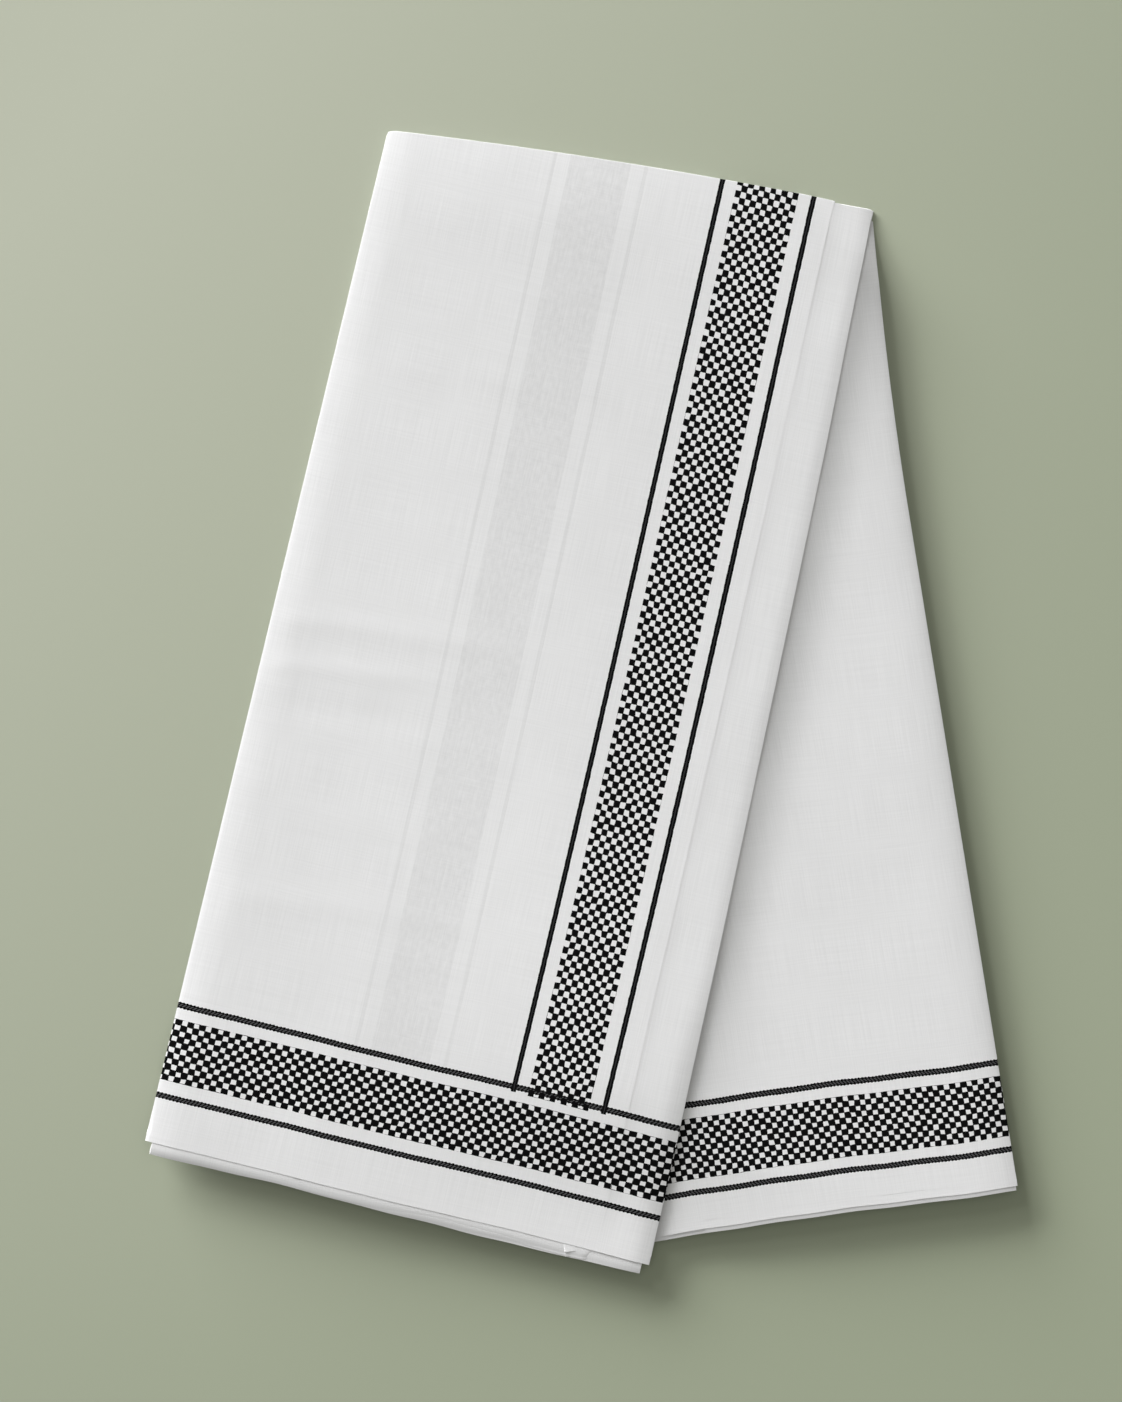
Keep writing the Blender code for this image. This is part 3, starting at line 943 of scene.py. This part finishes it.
# The kara of the layer beneath shows faintly through the front half's top layer: its band and its lines
# in u, how they slant, how much they darken the white, how mottled the band is, and how that grows with v
GHOST_BAND = (203.7 * MM, 264.4 * MM)
GHOST_LINES = (187.9 * MM, 279.9 * MM)
GHOST_LINE_HALF_WIDTH = 1.9 * MM
GHOST_SLANT = 0.0055
GHOST_TONE = -0.07
GHOST_MOTTLE = -0.16
GHOST_MOTTLE_RATES = (260.0, 120.0)
GHOST_LINE_TONE = 0.075
GHOST_GROWTH = 0.3
GHOST_AT_END = 0.72

WHITE = (0.795, 0.795, 0.806, 1.0)
BLACK = (0.004, 0.004, 0.0042, 1.0)
THREAD_GREY = (0.035, 0.035, 0.037, 1.0)
RIB_GREY = (0.075, 0.075, 0.078, 1.0)
COTTON_ROUGHNESS = 0.92
COTTON_SPECULAR = 0.03

# The weave's relief: the threads' pitch, how much the weave and the streaks add, and its strength and depth
THREAD_PITCH = 0.9 * MM
WEAVE_RELIEF = 0.3
STREAK_ALONG_RELIEF = 1.2
STREAK_ACROSS_RELIEF = 0.9
RELIEF_STRENGTH = 0.3
RELIEF_DEPTH = 0.012 * MM


def checks(shade, across, along, row_height, softness):
    """How deep inside a black square a point lies, below 0 inside a white one, as a length."""
    row = shade.math("PINGPONG", across, row_height / 2)
    column = shade.math("PINGPONG", along, CHECK_ALONG / 2)
    row_sign = shade.math("SINE", shade.times(across, math.pi / row_height))
    column_sign = shade.math("SINE", shade.times(along, math.pi / CHECK_ALONG))
    sign = shade.math("SIGN", shade.times(row_sign, column_sign))
    return shade.times(sign, shade.math("SMOOTH_MIN", row, column, softness))


def check_band(shade, distance, kara):
    """1 in a kara's band of checks."""
    far_side = kara.checks + CHECKS_ACROSS * kara.check
    return shade.between(distance, kara.checks + BAND_TRIM, far_side - BAND_TRIM)


def show_through(shade, u, v, u_drawn):
    """How much the kara of the layer beneath darkens the white."""
    under_u = shade.minus(u_drawn, shade.times(v, GHOST_SLANT))
    mottle = shade.centred(shade.streaks(u, v, GHOST_MOTTLE_RATES, SOME_DETAIL), GHOST_MOTTLE)
    under = shade.times(shade.between(under_u, *GHOST_BAND), shade.add(GHOST_TONE, mottle))
    under_lines = shade.in_two(under_u, GHOST_LINES, (GHOST_LINE_HALF_WIDTH, GHOST_LINE_HALF_WIDTH))
    under = shade.minus(under, shade.times(under_lines, GHOST_LINE_TONE))
    return shade.times(under, shade.math("MULTIPLY_ADD", v, GHOST_GROWTH, GHOST_AT_END))


def cotton(name, end_kara, ghost):
    """White plain-weave cotton with its karas woven in, in cloth coordinates."""
    shade = Shade(name)
    cloth = shade.node("ShaderNodeUVMap", uv_map="Cloth").outputs[0]
    u, v, _ = shade.parts(cloth)

    # Threads don't run dead straight: the pattern drifts by a fraction of a millimetre
    drift_u = shade.centred(shade.noise(cloth, DRIFT_RATE, SOME_DETAIL), DRIFT)
    drift_v = shade.centred(shade.noise(shade.vector(v, u, DRIFT_APART), DRIFT_RATE, SOME_DETAIL), DRIFT)
    u_drawn = shade.add(u, drift_u)
    v_drawn = shade.add(v, drift_v)
    from_selvedge = shade.both(u_drawn, shade.minus(CLOTH_WIDTH, u_drawn))
    looseness = shade.centred(shade.noise(cloth, LOOSE_RATE, SOFT_DETAIL), LOOSE)
    wander = shade.centred(shade.noise(cloth, WANDER_RATE, SOFT_DETAIL), WANDER)

    # The side kara, which stops at the far line of the end kara
    side_stop = end_kara.far_line - LINE_WIDTH / 2 - SIDE_CHECKS_PAST
    side_across = shade.minus(from_selvedge, SIDE_KARA.checks)
    side_along = shade.add(shade.minus(v_drawn, side_stop), wander)
    side_field = checks(shade, side_across, side_along, SIDE_KARA.check, SIDE_SOFTNESS)
    side_black = shade.above(side_field, shade.add(-SIDE_SPREAD, looseness))
    side_band = check_band(shade, from_selvedge, SIDE_KARA)
    side_checks = shade.both(shade.both(side_black, side_band), shade.above(v_drawn, side_stop))
    side_centres = (SIDE_KARA.line, SIDE_KARA.far_line)
    side_lines = shade.in_two(from_selvedge, side_centres, (LINE_WIDTH / 2, LINE_WIDTH / 2))
    side_lines = shade.both(side_lines, shade.above(v_drawn, side_stop + SIDE_LINES_SHORT))

    # The end kara
    end_across = shade.minus(v_drawn, end_kara.checks)
    end_field = checks(shade, end_across, shade.add(u_drawn, wander), end_kara.check, END_SOFTNESS)
    end_black = shade.above(end_field, shade.add(-END_SPREAD, looseness))
    end_checks = shade.both(end_black, check_band(shade, v_drawn, end_kara))
    end_centres = (end_kara.line, end_kara.far_line)
    rib = shade.math("SINE", shade.times(shade.add(u_drawn, v_drawn), 2 * math.pi / RIB))
    ragged = shade.add(LINE_WIDTH / 2 + END_LINE_WIDER, shade.times(rib, END_LINE_RAGGED))
    end_lines = shade.in_two(v_drawn, end_centres, (ragged, shade.add(ragged, FAR_LINE_WIDER)))

    # White cotton: faint streaks along both threads, and thicker threads here and there
    streak_along = shade.streaks(u, v, STREAK_ALONG_RATES, FINE_DETAIL)
    streak_across = shade.streaks(u, v, STREAK_ACROSS_RATES, FINE_DETAIL)
    tone = shade.centred(streak_along, STREAK_ALONG_TONE)
    tone = shade.add(tone, shade.centred(streak_across, STREAK_ACROSS_TONE))
    tone = shade.add(tone, shade.centred(shade.noise(cloth, CLOUD_RATE, FINE_DETAIL), CLOUD_TONE))
    if ghost:
        above_end = shade.above(v, end_kara.far_line)
        tone = shade.add(tone, shade.times(show_through(shade, u, v, u_drawn), above_end))
    white = shade.mix(1.0, WHITE, shade.grey(shade.add(1.0, tone)), "MULTIPLY")

    # Twill ribs on the end kara's lines, and the paler thread along the side kara's lines
    from_middles = [shade.math("ABSOLUTE", shade.minus(v_drawn, centre)) for centre in end_centres]
    inside_line = shade.math("LESS_THAN", shade.both(*from_middles), RIB_HALF_WIDTH)
    end_tone = shade.mix(shade.both(shade.above(rib, 0.0), inside_line), BLACK, RIB_GREY)
    thread = shade.in_two(from_selvedge, side_centres, (THREAD_HALF_WIDTH, THREAD_HALF_WIDTH))
    side_tone = shade.mix(thread, BLACK, THREAD_GREY)

    colour = shade.mix(end_lines, white, end_tone)
    colour = shade.mix(shade.either(end_checks, side_checks), colour, BLACK)
    colour = shade.mix(side_lines, colour, side_tone)
    shade.feed(shade.shader.inputs["Base Color"], colour)
    shade.shader.inputs["Roughness"].default_value = COTTON_ROUGHNESS
    shade.shader.inputs["Specular IOR Level"].default_value = COTTON_SPECULAR

    # The weave's relief
    warp = shade.math("SINE", shade.times(u, 2 * math.pi / THREAD_PITCH))
    weft = shade.math("SINE", shade.times(v, 2 * math.pi / THREAD_PITCH))
    weave = shade.times(shade.times(warp, weft), WEAVE_RELIEF)
    relief = shade.add(weave, shade.times(streak_along, STREAK_ALONG_RELIEF))
    relief = shade.add(relief, shade.times(streak_across, STREAK_ACROSS_RELIEF))
    bump = shade.node("ShaderNodeBump")
    shade.feed(bump.inputs["Strength"], RELIEF_STRENGTH)
    shade.feed(bump.inputs["Distance"], RELIEF_DEPTH)
    shade.feed(bump.inputs["Height"], relief)
    shade.feed(shade.shader.inputs["Normal"], bump.outputs[0])
    return shade.material


# The floor: its size, its darker green of painted shade and its paler green of painted light, and how the
# paler one's share changes with x, with y and with their product, from its value in the middle. This
# painted gradient stands in for the light falling off from the upper left.
FLOOR_SIZE = 8.0
FLOOR_PAINTED_SHADE = (0.314, 0.357, 0.248, 1.0)
FLOOR_PAINTED_LIGHT = (0.545, 0.572, 0.467, 1.0)
FLOOR_SLOPE_X = -0.40
FLOOR_SLOPE_Y = 0.36
FLOOR_SLOPE_XY = -0.33
FLOOR_MIDDLE = 0.5
FLOOR_ROUGHNESS = 0.95
FLOOR_SPECULAR = 0.2


def floor():
    """A plain pale sage surface with painted light: its colour is paler towards the light and darker away
    from it.
    """
    bpy.ops.mesh.primitive_plane_add(size=FLOOR_SIZE, location=(0, 0, 0))
    made = bpy.context.object
    made.name = "floor"
    shade = Shade("sage_surface")
    x, y, _ = shade.parts(shade.node("ShaderNodeTexCoord").outputs["Object"])
    # Painted light and shade: the colour grows paler towards the upper left, where the light comes from,
    # and darker away from it
    slope = shade.add(shade.times(x, FLOOR_SLOPE_X), shade.times(y, FLOOR_SLOPE_Y))
    slope = shade.add(slope, shade.times(shade.times(x, y), FLOOR_SLOPE_XY))
    share = shade.both(shade.either(shade.add(slope, FLOOR_MIDDLE), 0.0), 1.0)
    shade.feed(shade.shader.inputs["Base Color"], shade.mix(share, FLOOR_PAINTED_SHADE, FLOOR_PAINTED_LIGHT))
    shade.shader.inputs["Roughness"].default_value = FLOOR_ROUGHNESS
    shade.shader.inputs["Specular IOR Level"].default_value = FLOOR_SPECULAR
    made.data.materials.append(shade.material)


# The light: three low soft suns beside each other at the upper left, a wider and higher one, and an even
# pale surround. Angles are in degrees.
Sun = namedtuple("Sun", "name azimuth elevation softness strength bounces")
SUNS = (
    Sun("key", 128, 3.0, 14, 8.1, False),
    Sun("key_beside", 112, 3.0, 14, 8.1, False),
    Sun("key_other_side", 142, 3.0, 14, 8.1, False),
    Sun("soft_key", 128, 12.0, 20, 1.76, True),
)
FILL_COLOUR = (1.0, 0.998, 0.945, 1.0)
FILL_STRENGTH = 0.328


def sun_light(sun):
    data = bpy.data.lights.new(sun.name, "SUN")
    data.energy = sun.strength
    data.angle = math.radians(sun.softness)
    # The low suns' light stops at its first hit: off the lit walls it would ring the cloth in white
    if not sun.bounces:
        data.cycles.max_bounces = 0
    made = bpy.data.objects.new(sun.name, data)
    azimuth = math.radians(sun.azimuth)
    elevation = math.radians(sun.elevation)
    flat = math.cos(elevation)
    towards = Vector((math.cos(azimuth) * flat, math.sin(azimuth) * flat, math.sin(elevation)))
    made.rotation_euler = towards.to_track_quat("Z", "Y").to_euler()
    bpy.context.scene.collection.objects.link(made)


def lights():
    for sun in SUNS:
        sun_light(sun)
    world = bpy.data.worlds.new("studio")
    world.use_nodes = True
    background = world.node_tree.nodes["Background"]
    background.inputs["Color"].default_value = FILL_COLOUR
    background.inputs["Strength"].default_value = FILL_STRENGTH
    bpy.context.scene.world = world


# The camera looks straight down: the photo's frame covers this height at the cloth's level, in metres
VIEW_HEIGHT = 1.402
VIEW_CENTRE = (-0.0205, 0.0023)
VIEW_DEPTH = 50.0
CAMERA_DISTANCE = 4.0
CLOTH_LEVEL = 9 * MM
SENSOR = 24.0


def camera():
    data = bpy.data.cameras.new("camera")
    data.sensor_fit = "VERTICAL"
    data.sensor_height = SENSOR
    data.lens = SENSOR * CAMERA_DISTANCE / VIEW_HEIGHT
    data.clip_end = VIEW_DEPTH
    made = bpy.data.objects.new("camera", data)
    made.location = (*VIEW_CENTRE, CLOTH_LEVEL + CAMERA_DISTANCE)
    bpy.context.scene.collection.objects.link(made)
    bpy.context.scene.camera = made


camera()
lights()
floor()
front = front_cloth()
back = back_cloth()
front.data.materials.append(cotton("cotton_front", FRONT_END_KARA, ghost=True))
back.data.materials.append(cotton("cotton_back", BACK_END_KARA, ghost=False))
for piece in (front, back):
    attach(piece, "root")
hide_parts("front_top_layer", "front_side_layer", "hidden_layers")
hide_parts("back_top_layer", "hidden_layers")
bpy.context.scene.view_settings.view_transform = "Standard"
